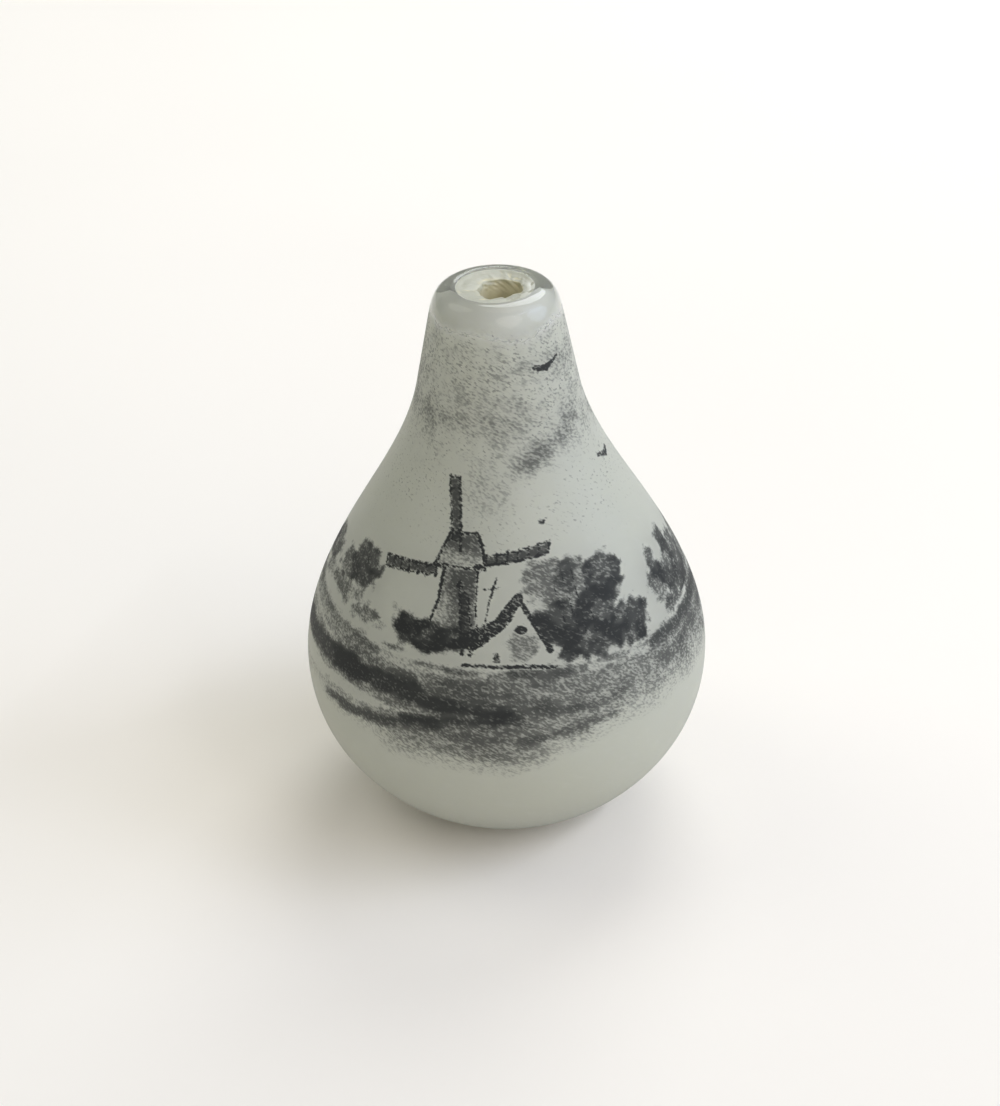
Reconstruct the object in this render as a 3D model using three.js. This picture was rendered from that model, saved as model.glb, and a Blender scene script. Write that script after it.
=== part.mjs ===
// A miniature pear-shaped glass vase: one thick-walled, hollow blown body of matted glass over an opal lining.
// It stands on a ground foot ring and ends in a rounded, fire-polished lip round a small ragged mouth.
// Millimetres, +Z up, origin at the centre of the foot ring on the surface that the vase stands on.
import * as THREE from "three";

// Overall size.
const HEIGHT = 45;

// Foot: a flat ground ring round a shallow hollow, where the pontil scar was polished away.
const FOOT_RADIUS = 7.0;
const FOOT_RING_WIDTH = 2.4;
const PONTIL_DEPTH = 0.5;
const FOOT_RISE_ANGLE = 29.5; // degrees above the ground at which the bowl leaves the foot
const FOOT_FULLNESS = 9.2; // how far the bowl keeps that direction before it turns up

// Belly: the widest ring of the pear.
const BELLY_RADIUS = 16.0;
const BELLY_HEIGHT = 13.4;
const BELLY_FULLNESS_BELOW = 3.2;
const BELLY_FULLNESS_ABOVE = 3.8;

// Shoulder: where the bulging side turns into the hollow curve of the neck.
const SHOULDER_RADIUS = 12.05;
const SHOULDER_HEIGHT = 24.85;
const SHOULDER_TAPER = 0.576; // loss of radius for each millimetre of height
const SHOULDER_FULLNESS = 4.4;

// Neck: a straight tube that tapers up to the lip.
const NECK_LENGTH = 5.95; // from the hollow curve of the shoulder up to the lip
const NECK_TAPER = 0.2; // loss of radius for each millimetre of height
const NECK_FULLNESS = 4.4;

// Mouth: the opal lining breaks off roughly inside the lip, round a bore that lies a little off the axis.
const BORE_RADIUS = 1.65;
const BORE_LENGTH = 5.5;
const BORE_OFFSET = 0.35;
const BORE_ROOT_FULLNESS = 5;
const LINING_WALL = 1.3;
const LINING_DROP = 0.12; // from the top of the lip to the outer edge of the broken lining
const BREAK_DEPTH = 0.3; // from the top of the lip to the edge of the bore
const BREAK_HUMP = 0.3; // share of that fall reached half way in, less than 0.5 for a domed break
const BREAK_ROUGHNESS = 0.2; // how far the edge of the bore wanders in and out

// Lip: the clear casing outside the lining, melted to a round edge.
const LIP_CREST = 0.2; // clear glass between the lining and the highest ring of the lip
const LIP_ROLL = 1.85; // from the highest ring out to the neck
const LIP_ROUNDING = 2.05; // height of the rounding
const LIP_FULLNESS_BELOW = 1.35; // how far the lip keeps the direction of the neck before it turns in
const LIP_FULLNESS_ABOVE = 1.15;

// Walls of the hollow inside.
const WALL = 2.8;
const FLOOR = 3.4;
const FLOOR_FULLNESS = 6.5;

// Fineness of the faceted surfaces.
const SIDES = 60;
const OUTSIDE_STEPS = 10; // for each curve of the outside
const HOLLOW_STEPS = 6; // for each curve of the inside
const LIP_STEPS = 5;

const degrees = (angle) => (angle * Math.PI) / 180;

/** A point of the profile: x is the radius and y the height. */
const at = (radius, height) => new THREE.Vector2(radius, height);

/** A point moved by a distance along a direction, which is given as a run in radius and a rise in height. */
const moved = (point, run, rise, distance) =>
  point.clone().addScaledVector(at(run, rise).normalize(), distance);

const belly = at(BELLY_RADIUS, BELLY_HEIGHT);
const shoulder = at(SHOULDER_RADIUS, SHOULDER_HEIGHT);
const lining = at(BORE_RADIUS + LINING_WALL, HEIGHT - LINING_DROP);
const crest = at(lining.x + LIP_CREST, HEIGHT);
const lip = at(crest.x + LIP_ROLL, HEIGHT - LIP_ROUNDING);
const neck = at(lip.x + NECK_TAPER * NECK_LENGTH, lip.y - NECK_LENGTH);
const bore = at(BORE_RADIUS, HEIGHT - BREAK_DEPTH);
const boreRoot = at(BORE_RADIUS, bore.y - BORE_LENGTH);

/** Outside of the bowl, shoulder and neck, from the foot up to the lip. */
function outsideCurves() {
  const foot = at(FOOT_RADIUS, 0);
  const rise = degrees(FOOT_RISE_ANGLE);
  return [
    new THREE.CubicBezierCurve(
      foot,
      moved(foot, Math.cos(rise), Math.sin(rise), FOOT_FULLNESS),
      moved(belly, 0, -1, BELLY_FULLNESS_BELOW),
      belly,
    ),
    new THREE.CubicBezierCurve(
      belly,
      moved(belly, 0, 1, BELLY_FULLNESS_ABOVE),
      moved(shoulder, SHOULDER_TAPER, -1, SHOULDER_FULLNESS),
      shoulder,
    ),
    new THREE.CubicBezierCurve(
      shoulder,
      moved(shoulder, -SHOULDER_TAPER, 1, SHOULDER_FULLNESS),
      moved(neck, NECK_TAPER, -1, NECK_FULLNESS),
      neck,
    ),
  ];
}

/** Inside of the vase, from the root of the bore down to the middle of the floor. */
function hollowCurves() {
  const hollowShoulder = moved(shoulder, -1, -SHOULDER_TAPER, WALL);
  const hollowBelly = at(BELLY_RADIUS - WALL, BELLY_HEIGHT);
  const hollowFloor = at(0, FLOOR);
  return [
    new THREE.CubicBezierCurve(
      boreRoot,
      moved(boreRoot, 0, -1, BORE_ROOT_FULLNESS),
      moved(hollowShoulder, -SHOULDER_TAPER, 1, SHOULDER_FULLNESS),
      hollowShoulder,
    ),
    new THREE.CubicBezierCurve(
      hollowShoulder,
      moved(hollowShoulder, SHOULDER_TAPER, -1, SHOULDER_FULLNESS),
      moved(hollowBelly, 0, 1, BELLY_FULLNESS_ABOVE),
      hollowBelly,
    ),
    new THREE.CubicBezierCurve(
      hollowBelly,
      moved(hollowBelly, 0, -1, FLOOR_FULLNESS),
      moved(hollowFloor, 1, 0, FLOOR_FULLNESS),
      hollowFloor,
    ),
  ];
}

/** Points of several curves in a row, with each shared end point taken once. */
function pointsAlong(curves, steps) {
  return curves.flatMap((curve, i) =>
    curve.getPoints(steps).slice(i === 0 ? 0 : 1),
  );
}

/** The rounding of the lip, which leaves the neck in its own direction and ends level at the crest. */
function lipPoints() {
  return new THREE.CubicBezierCurve(
    lip,
    moved(lip, -NECK_TAPER, 1, LIP_FULLNESS_BELOW),
    moved(crest, 1, 0, LIP_FULLNESS_ABOVE),
    crest,
  ).getPoints(LIP_STEPS);
}

/** The whole section, from the middle of the underside round the outside and in through the mouth to the floor. */
function section() {
  const pontilRadius = FOOT_RADIUS - FOOT_RING_WIDTH;
  return [
    at(0, PONTIL_DEPTH),
    at(pontilRadius / 2, PONTIL_DEPTH * 0.75),
    at(pontilRadius, 0),
    ...pointsAlong(outsideCurves(), OUTSIDE_STEPS),
    ...lipPoints(),
    lining,
    at((lining.x + bore.x) / 2, lining.y - BREAK_HUMP * (lining.y - bore.y)),
    bore,
    ...pointsAlong(hollowCurves(), HOLLOW_STEPS),
  ];
}

/** How far the break wanders in and out round the mouth: a few waves that don't repeat evenly. */
function breakWander(angle) {
  return (
    0.45 * Math.sin(2 * angle + 0.6) +
    0.35 * Math.sin(3 * angle + 2.1) +
    0.3 * Math.sin(7 * angle + 4.0)
  );
}

/**
 * Roughens the broken end of the lining, and moves the bore off the axis.
 * Both fade out down the bore and towards the outer edge of the lining, which stays round.
 */
function breakMouth(geometry) {
  const position = geometry.getAttribute("position");
  const point = new THREE.Vector3();
  for (let i = 0; i < position.count; i += 1) {
    point.fromBufferAttribute(position, i);
    const radius = Math.hypot(point.x, point.y);
    if (radius > lining.x || point.z < boreRoot.y) continue;
    const fade = (point.z - boreRoot.y) / (bore.y - boreRoot.y);
    const inward = (lining.x - radius) / LINING_WALL;
    const share = Math.min(fade, 1) * inward;
    const wander = breakWander(Math.atan2(point.y, point.x));
    const stretch = 1 + (share * BREAK_ROUGHNESS * wander) / radius;
    point.x = point.x * stretch + BORE_OFFSET * share;
    point.y *= stretch;
    position.setXYZ(i, point.x, point.y, point.z);
  }
  return geometry;
}

/** The vase as one closed body of glass. */
function vase() {
  const geometry = new THREE.LatheGeometry(section(), SIDES);
  geometry.rotateX(Math.PI / 2);
  const glass = new THREE.MeshStandardMaterial({
    color: new THREE.Color(0.66, 0.67, 0.61),
    roughness: 0.55,
    metalness: 0,
  });
  const mesh = new THREE.Mesh(breakMouth(geometry), glass);
  mesh.name = "vase";
  return mesh;
}

const miniatureVase = new THREE.Group();
miniatureVase.add(vase());

export default miniatureVase;
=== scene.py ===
"""A miniature pear-shaped vase: clear matted glass over an opal lining, painted with a grey landscape.

Lengths in the classes are in millimetres and angles in degrees. Meshes are made in metres, in the frame
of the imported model: +Z up, the foot ring on z = 0, and the middle of the painting towards -Y.
"""
import logging
import math
from dataclasses import dataclass, field
from enum import Enum
from typing import Optional, Sequence

import bpy
import numpy as np
from mathutils import Matrix, Vector


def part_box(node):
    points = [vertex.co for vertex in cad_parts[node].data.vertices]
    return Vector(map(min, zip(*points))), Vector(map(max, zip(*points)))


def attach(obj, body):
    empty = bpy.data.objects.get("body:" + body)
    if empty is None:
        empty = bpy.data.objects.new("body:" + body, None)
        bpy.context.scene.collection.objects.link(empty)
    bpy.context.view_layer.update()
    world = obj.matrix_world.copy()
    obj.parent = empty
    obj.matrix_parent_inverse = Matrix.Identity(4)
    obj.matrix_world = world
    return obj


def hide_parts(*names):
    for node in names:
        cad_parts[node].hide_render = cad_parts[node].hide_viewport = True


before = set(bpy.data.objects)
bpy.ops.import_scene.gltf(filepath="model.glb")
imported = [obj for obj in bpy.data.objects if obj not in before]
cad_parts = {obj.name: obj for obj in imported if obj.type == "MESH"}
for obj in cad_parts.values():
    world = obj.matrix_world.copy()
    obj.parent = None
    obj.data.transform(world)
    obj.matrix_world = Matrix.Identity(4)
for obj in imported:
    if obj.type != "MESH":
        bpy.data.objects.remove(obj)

MM = 0.001
NODE = "vase"
BODY = "root"
CURVE_POINTS = 160  # of each smooth stretch of a section, before the rows of a mesh are picked from it
EDGE_POINTS = 60  # of the small inner edge of the lip
TABLE_ROWS = 128  # of random values, before they repeat upwards

Point = tuple[float, float]
Colour = tuple[float, float, float]
Field = np.ndarray
Socket = bpy.types.NodeSocket

log = logging.getLogger("vase")
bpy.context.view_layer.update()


class Layer(Enum):
    """What each vertex of the casing carries, as one number a layer."""

    INK = "ink"  # distance inside a brush mark, in millimetres
    WASH = "wash"  # darkness of the rubbed grey paint
    GRAIN = "grain"  # share of the surface that dark grains cover
    POLISH = "polish"  # 1 where the lip is melted smooth
    GRIME_AND_SHADE = "grime_and_shade"  # 1 where the broken lining is soiled, or darkened at its left and behind as painted shade


# Curves of the section

def unit(run: float, rise: float) -> np.ndarray:
    """Gives the direction of a run in radius and a rise in height, with length 1."""
    return np.array([run, rise]) / math.hypot(run, rise)


def bend(
    start: Sequence[float], leave: Sequence[float], arrive: Sequence[float], end: Sequence[float],
) -> Field:
    """Makes one smooth stretch of a section.

    Args:
        start: Radius and height of the first point.
        leave: Handle of the first point.
        arrive: Handle of the last point.
        end: Radius and height of the last point.

    Returns:
        Closely spaced points, one row each.
    """
    t = np.linspace(0.0, 1.0, CURVE_POINTS)[:, None]
    corners = [np.asarray(corner, float) for corner in (start, leave, arrive, end)]
    weights = [(1 - t) ** 3, 3 * t * (1 - t) ** 2, 3 * t**2 * (1 - t), t**3]
    return sum(weight * corner for weight, corner in zip(weights, corners))


def join(*stretches: Field) -> Field:
    """Puts stretches in a row, with each shared end point taken once."""
    return np.vstack([stretches[0]] + [stretch[1:] for stretch in stretches[1:]])


def arc_of(line: Field) -> Field:
    """Gives the distance along a line at each of its points."""
    steps = np.hypot(*np.diff(line, axis=0).T)
    return np.concatenate([[0.0], np.cumsum(steps)])


def spaced(line: Field, marks: Field) -> Field:
    """Picks the points of a line at given distances along it.

    Args:
        line: Closely spaced points of radius and height.
        marks: Distances from the line's first point.

    Returns:
        One row of radius and height for each mark.
    """
    arc = arc_of(line)
    return np.column_stack([np.interp(marks, arc, line[:, 0]), np.interp(marks, arc, line[:, 1])])


@dataclass(frozen=True)
class Section:
    """The vase cut through its axis: the outside, the fused boundary of the two glasses, and the hollow."""

    height: float
    foot_radius: float = 7.0
    foot_ring_width: float = 2.4
    pontil_depth: float = 0.5
    foot_rise_angle: float = 29.5
    foot_fullness: float = 9.2
    belly_radius: float = 16.0
    belly_height: float = 13.4
    belly_fullness_below: float = 3.2
    belly_fullness_above: float = 3.8
    shoulder_radius: float = 12.05
    shoulder_height: float = 24.85
    shoulder_taper: float = 0.576
    shoulder_fullness: float = 4.4
    neck_length: float = 5.95
    neck_taper: float = 0.2
    neck_fullness: float = 4.4
    bore_radius: float = 1.65
    bore_length: float = 5.5
    bore_root_fullness: float = 5.0
    lining_wall: float = 1.3
    lining_drop: float = 0.12
    break_depth: float = 0.3
    break_hump: float = 0.3
    lip_crest: float = 0.2
    lip_roll: float = 1.85
    lip_rounding: float = 2.05
    lip_fullness_below: float = 1.35
    lip_fullness_above: float = 1.15
    wall: float = 2.8
    floor: float = 3.4
    floor_fullness: float = 6.5
    casing_wall: float = 1.3
    casing_floor: float = 1.9
    casing_mouth_fullness: float = 1.5
    casing_neck_fullness: float = 4.6
    casing_floor_spread: float = 1.35

    @property
    def lining(self) -> np.ndarray:
        """Outer edge of the broken end of the lining."""
        return np.array([self.bore_radius + self.lining_wall, self.height - self.lining_drop])

    @property
    def crest(self) -> np.ndarray:
        """Highest ring of the lip."""
        return np.array([self.lining[0] + self.lip_crest, self.height])

    @property
    def lip(self) -> np.ndarray:
        """Start of the lip's rounding, where the neck ends."""
        return self.crest + [self.lip_roll, -self.lip_rounding]

    @property
    def neck(self) -> np.ndarray:
        """Root of the straight neck."""
        return self.lip + [self.neck_taper * self.neck_length, -self.neck_length]

    @property
    def shoulder(self) -> np.ndarray:
        """Turning point between the bulging side and the hollow curve of the neck."""
        return np.array([self.shoulder_radius, self.shoulder_height])

    @property
    def belly(self) -> np.ndarray:
        """Widest ring of the vase."""
        return np.array([self.belly_radius, self.belly_height])

    @property
    def shoulder_slope(self) -> np.ndarray:
        """Direction of the side at the shoulder, upwards."""
        return unit(-self.shoulder_taper, 1.0)

    @property
    def neck_slope(self) -> np.ndarray:
        """Direction of the side of the neck, upwards."""
        return unit(-self.neck_taper, 1.0)

    @property
    def bore_edge(self) -> np.ndarray:
        """Inner edge of the broken end of the lining."""
        return np.array([self.bore_radius, self.height - self.break_depth])

    def outside(self) -> Field:
        """Runs from the foot ring up to the start of the lip.

        Returns:
            Closely spaced points of radius and height.
        """
        foot = np.array([self.foot_radius, 0.0])
        rise = math.radians(self.foot_rise_angle)
        return join(
            bend(foot, foot + self.foot_fullness * unit(math.cos(rise), math.sin(rise)),
                 self.belly - [0.0, self.belly_fullness_below], self.belly),
            bend(self.belly, self.belly + [0.0, self.belly_fullness_above],
                 self.shoulder - self.shoulder_fullness * self.shoulder_slope, self.shoulder),
            bend(self.shoulder, self.shoulder + self.shoulder_fullness * self.shoulder_slope,
                 self.neck - self.neck_fullness * self.neck_slope, self.neck),
            np.array([self.neck, self.lip]),
        )

    def lip_round(self) -> Field:
        """Runs over the lip's rounding to its crest, and down its inner edge to the lining.

        Returns:
            Closely spaced points of radius and height.
        """
        turn = np.linspace(0.0, math.pi / 2, EDGE_POINTS)[:, None]
        leave = self.lip + self.lip_fullness_below * self.neck_slope
        outer = bend(self.lip, leave, self.crest + [self.lip_fullness_above, 0.0], self.crest)
        inner = np.hstack([
            self.crest[0] - self.lip_crest * np.sin(turn),
            self.lining[1] + self.lining_drop * np.cos(turn),
        ])
        return join(outer, inner)

    def shoulder_inside(self, depth: float) -> np.ndarray:
        """Gives the turning point of the shoulder at a depth inside the outside."""
        return self.shoulder + depth * unit(-1.0, -self.shoulder_taper)

    def bowl_inside(self, depth: float, floor_height: float, floor_fullness: float) -> Field:
        """Runs from the shoulder down to the axis, inside the outside.

        Args:
            depth: How far inside it lies at the shoulder and the belly.
            floor_height: Height of the middle of the floor.
            floor_fullness: How far the floor runs level from its middle.

        Returns:
            Closely spaced points of radius and height.
        """
        shoulder = self.shoulder_inside(depth)
        belly = self.belly - [depth, 0.0]
        floor = np.array([0.0, floor_height])
        return join(
            bend(shoulder, shoulder - self.shoulder_fullness * self.shoulder_slope,
                 belly + [0.0, self.belly_fullness_above], belly),
            bend(belly, belly - [0.0, self.floor_fullness], floor + [floor_fullness, 0.0], floor),
        )

    def boundary(self, sink: float) -> Field:
        """Runs down the face where the lining is melted to the casing, from the mouth to the axis.

        Args:
            sink: How far the line lies inside the lining, so that the lining's own face is met first.

        Returns:
            Closely spaced points of radius and height.
        """
        mouth = self.lining - [sink, sink]
        depth = self.casing_wall + sink
        neck = self.neck + depth * unit(-1.0, -self.neck_taper)
        shoulder = self.shoulder_inside(depth)
        floor_fullness = self.floor_fullness * self.casing_floor_spread
        return join(
            bend(mouth, mouth - [0.0, self.casing_mouth_fullness],
                 neck + self.casing_neck_fullness * self.neck_slope, neck),
            bend(neck, neck - self.neck_fullness * self.neck_slope,
                 shoulder + self.shoulder_fullness * self.shoulder_slope, shoulder),
            self.bowl_inside(depth, self.casing_floor + sink, floor_fullness),
        )

    def hollow(self) -> Field:
        """Runs down the inside of the lining, from the broken mouth to the axis.

        Returns:
            Closely spaced points of radius and height.
        """
        root = self.bore_edge - [0.0, self.bore_length]
        shoulder = self.shoulder_inside(self.wall)
        return join(
            np.array([self.bore_edge, root]),
            bend(root, root - [0.0, self.bore_root_fullness],
                 shoulder + self.shoulder_fullness * self.shoulder_slope, shoulder),
            self.bowl_inside(self.wall, self.floor, self.floor_fullness),
        )


@dataclass(frozen=True)
class BrokenMouth:
    """The ragged end of the lining: how the bore lies off the axis, how its edge wanders, and its chips."""

    section: Section
    offset: float = 0.35
    roughness: float = 0.2
    chip_depth: float = 0.1
    chip_bite: float = 0.3
    chip_reach: float = 1.3
    coarse_chip: float = 0.62
    fine_chip: float = 0.24
    coarse_share: float = 0.62
    usual_chip: float = 0.45
    least_radius: float = 0.5

    def wander(self, azimuth: Field) -> Field:
        """Gives how far the break runs in and out round the mouth."""
        return (
            0.45 * np.sin(2 * azimuth + 0.6)
            + 0.35 * np.sin(3 * azimuth + 2.1)
            + 0.3 * np.sin(7 * azimuth + 4.0)
        )

    def chips(self, places: Field) -> Field:
        """Gives how deep small chips cut into the break.

        Args:
            places: Points in millimetres, in the last axis.

        Returns:
            A depth from 0 to 1 for each point.
        """
        x, y, z = (places[..., axis] for axis in range(3))
        across, along = x + 1.3 * z + 200.0, y - 0.9 * z + 200.0
        coarse = drift(across, along, (self.coarse_chip, self.coarse_chip), 71)
        fine = drift(across, along, (self.fine_chip, self.fine_chip), 72)
        return np.clip(self.coarse_share * coarse + (1 - self.coarse_share) * fine, 0.0, 1.0)

    def shift(self, places: Field) -> Field:
        """Moves the points of the lining as its end broke. Its outer edge stays round.

        Args:
            places: Points in millimetres, in the last axis.

        Returns:
            The moved points.
        """
        section = self.section
        edge = section.bore_edge[1]
        root = edge - section.bore_length
        radius = np.hypot(places[..., 0], places[..., 1])
        azimuth = np.arctan2(places[..., 1], places[..., 0])
        inward = np.clip((section.lining[0] - radius) / section.lining_wall, 0.0, 1.0)
        share = np.clip((places[..., 2] - root) / section.bore_length, 0.0, 1.0) * inward
        near_edge = ease(edge - places[..., 2], self.chip_reach, 0.0)
        chipped = self.chips(places) * near_edge * ease(inward, 0.0, 0.3)
        outward = share * self.roughness * self.wander(azimuth)
        outward += self.chip_bite * (chipped - self.usual_chip) * ease(inward, 0.6, 1.0)
        stretch = 1.0 + outward * (share > 0) / np.maximum(radius, self.least_radius)
        moved = places.copy()
        moved[..., 0] = places[..., 0] * stretch + self.offset * share
        moved[..., 1] = places[..., 1] * stretch
        moved[..., 2] = places[..., 2] - self.chip_depth * chipped
        return moved


# Turned meshes

@dataclass
class Turning:
    """A closed skin of rings round the axis, from a line that starts and ends on it."""

    name: str
    line: Field
    azimuth: Field

    def grid(self) -> Field:
        """Gives the places of all ring points. Azimuth 0 is towards -Y, and it grows towards +X.

        Returns:
            Points in millimetres, by ring and azimuth.
        """
        radius = self.line[1:-1, 0][:, None]
        height = np.broadcast_to(self.line[1:-1, 1][:, None], (len(self.line) - 2, len(self.azimuth)))
        return np.stack([radius * np.sin(self.azimuth), -radius * np.cos(self.azimuth), height], -1)

    def build(self, places: Field, layers: dict[Layer, Field]) -> bpy.types.Object:
        """Makes the mesh object.

        Args:
            places: The ring points from grid, moved or not.
            layers: Values of each layer at the ring points.

        Returns:
            The object, linked to the scene.
        """
        rows, columns = places.shape[:2]
        poles = np.array([[0.0, 0.0, self.line[0, 1]], [0.0, 0.0, self.line[-1, 1]]])
        vertices = np.vstack([places.reshape(-1, 3), poles]) * MM
        first, last = rows * columns, rows * columns + 1
        here = np.arange(rows * columns).reshape(rows, columns)
        beside = np.roll(here, -1, axis=1)
        quads = np.stack([here[:-1], beside[:-1], beside[1:], here[1:]], -1).reshape(-1, 4)
        faces = quads.tolist()
        faces += [[first, int(b), int(a)] for a, b in zip(here[0], beside[0])]
        faces += [[last, int(a), int(b)] for a, b in zip(here[-1], beside[-1])]
        mesh = bpy.data.meshes.new(self.name)
        mesh.from_pydata(vertices.tolist(), [], faces)
        mesh.polygons.foreach_set("use_smooth", np.ones(len(mesh.polygons), bool))
        for layer, values in layers.items():
            data = np.concatenate([values.ravel(), values[0, :1], values[-1, :1]]).astype(np.float32)
            mesh.attributes.new(layer.value, "FLOAT", "POINT").data.foreach_set("value", data)
        mesh.update()
        piece = bpy.data.objects.new(self.name, mesh)
        bpy.context.scene.collection.objects.link(piece)
        return piece


# Brush marks: each gives the distance inside the mark, in millimetres, negative outside it

def stroke(
    x: Field, y: Field, route: Sequence[Point], width: float, end_width: Optional[float] = None,
) -> Field:
    """Draws a stroke of the brush along a route.

    Args:
        x: Places across the picture.
        y: Places up the picture.
        route: Points that the stroke passes through.
        width: Width at its start.
        end_width: Width at its end, or None for the same width.

    Returns:
        The distance inside the stroke.
    """
    final = width if end_width is None else end_width
    spans = [math.dist(a, b) for a, b in zip(route, route[1:])]
    best = np.full(np.broadcast(x, y).shape, -np.inf)
    gone = 0.0
    for (ax, ay), (bx, by), span in zip(route, route[1:], spans):
        along = np.clip(((x - ax) * (bx - ax) + (y - ay) * (by - ay)) / span**2, 0.0, 1.0)
        share = (gone + along * span) / sum(spans)
        half = (width + (final - width) * share) / 2
        gap = np.hypot(x - ax - along * (bx - ax), y - ay - along * (by - ay))
        best = np.maximum(best, half - gap)
        gone += span
    return best


def patch(x: Field, y: Field, corners: Sequence[Point]) -> Field:
    """Draws a filled patch with straight sides.

    Args:
        x: Places across the picture.
        y: Places up the picture.
        corners: Its corners in order.

    Returns:
        The distance inside the patch.
    """
    shape = np.broadcast(x, y).shape
    edge = np.full(shape, -np.inf)
    inside = np.zeros(shape, bool)
    for (ax, ay), (bx, by) in zip(corners, [*corners[1:], corners[0]]):
        edge = np.maximum(edge, stroke(x, y, [(ax, ay), (bx, by)], 0.0))
        crosses = (ay > y) != (by > y)
        side = (x - ax) * (by - ay) - (bx - ax) * (y - ay)
        inside ^= crosses & ((side < 0) == (by > ay))
    return np.where(inside, -edge, edge)


def oval(x: Field, y: Field, centre: Point, half: Point) -> Field:
    """Draws an oval from its centre and half sizes. Its distance is an estimate."""
    px, py = (x - centre[0]) / half[0], (y - centre[1]) / half[1]
    return (1.0 - np.hypot(px, py)) * min(half)


def drift(x: Field, y: Field, cell: Point, seed: int, round_cells: int = 64) -> Field:
    """Gives a smooth random value between 0 and 1 that repeats after round_cells cells across.

    Args:
        x: Places across.
        y: Places up.
        cell: Size of a cell across and up.
        seed: Which of the random tables is used.
        round_cells: Number of cells across before the table repeats.

    Returns:
        The values.
    """
    table = np.random.default_rng(seed).random((TABLE_ROWS, round_cells))
    px, py = np.broadcast_arrays(x / cell[0], y / cell[1])
    left, low = np.floor(px).astype(int), np.floor(py).astype(int)
    fx, fy = px - left, py - low
    fx, fy = fx * fx * (3 - 2 * fx), fy * fy * (3 - 2 * fy)

    def level(row: int) -> Field:
        """Gives the values along the lower or upper side of each cell."""
        first, second = (table[(low + row) % TABLE_ROWS, (left + step) % round_cells] for step in (0, 1))
        return first * (1 - fx) + second * fx

    return level(0) * (1 - fy) + level(1) * fy


def ease(value: Field, low: float, high: float) -> Field:
    """Rises smoothly from 0 at low to 1 at high. With low above high it falls."""
    t = np.clip((value - low) / (high - low), 0.0, 1.0)
    return t * t * (3 - 2 * t)


@dataclass
class PaintedWall:
    """The outside of the vase as a canvas: places of its points, and the layers of paint on them."""

    azimuth: Field
    arc: Field
    radius: Field
    girth_radius: float
    wipe_edge: Point = (-0.12, 0.16)
    ink_edge: float = -0.05
    ink: Field = field(init=False)
    wash: Field = field(init=False)
    grain: Field = field(init=False)

    def __post_init__(self) -> None:
        """Starts with bare glass."""
        shape = (len(self.arc), len(self.azimuth))
        self.azimuth = self.azimuth[None, :]
        self.arc = self.arc[:, None]
        self.radius = self.radius[:, None]
        self.ink = np.full(shape, -1.0)
        self.wash = np.zeros(shape)
        self.grain = np.zeros(shape)

    @property
    def girth(self) -> Field:
        """Places across, measured at the belly's girth."""
        return self.azimuth * self.girth_radius

    def at(self, girth: float, arc: float) -> tuple[Field, Field]:
        """Gives places across and up from a figure's foot, as the brush measures them on the glass."""
        return (self.azimuth - girth / self.girth_radius) * self.radius, self.arc - arc

    def mottle(self, cells_round: int, cell_height: float, seed: int) -> Field:
        """Gives a smooth random value that closes up at the back."""
        across = (self.azimuth / (2 * math.pi) + 0.5) * cells_round
        return drift(across, self.arc, (1.0, cell_height), seed, cells_round)

    def draw(self, mark: Field) -> None:
        """Puts a brush mark of thick paint on the glass."""
        self.ink = np.maximum(self.ink, mark)

    def shade(self, amount: Field) -> None:
        """Rubs grey paint over what is there, up to a darkness between 0 and 1."""
        self.wash = 1 - (1 - self.wash) * (1 - np.clip(amount, 0.0, 1.0))

    def dust(self, amount: Field) -> None:
        """Scatters dark grains, thickly where the amount is near 1."""
        self.grain = np.maximum(self.grain, np.clip(amount, 0.0, 1.0))

    def wipe(self, mark: Field, keep: float = 0.0) -> None:
        """Takes the paint off inside a mark.

        Args:
            mark: The distance inside the mark.
            keep: Share of the grey paint and the grains that stays.
        """
        inside = ease(mark, *self.wipe_edge)
        self.ink = np.where(mark > self.ink_edge, np.minimum(self.ink, -mark + self.ink_edge), self.ink)
        self.wash *= 1 - inside * (1 - keep)
        self.grain *= 1 - inside * (1 - keep)


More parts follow.
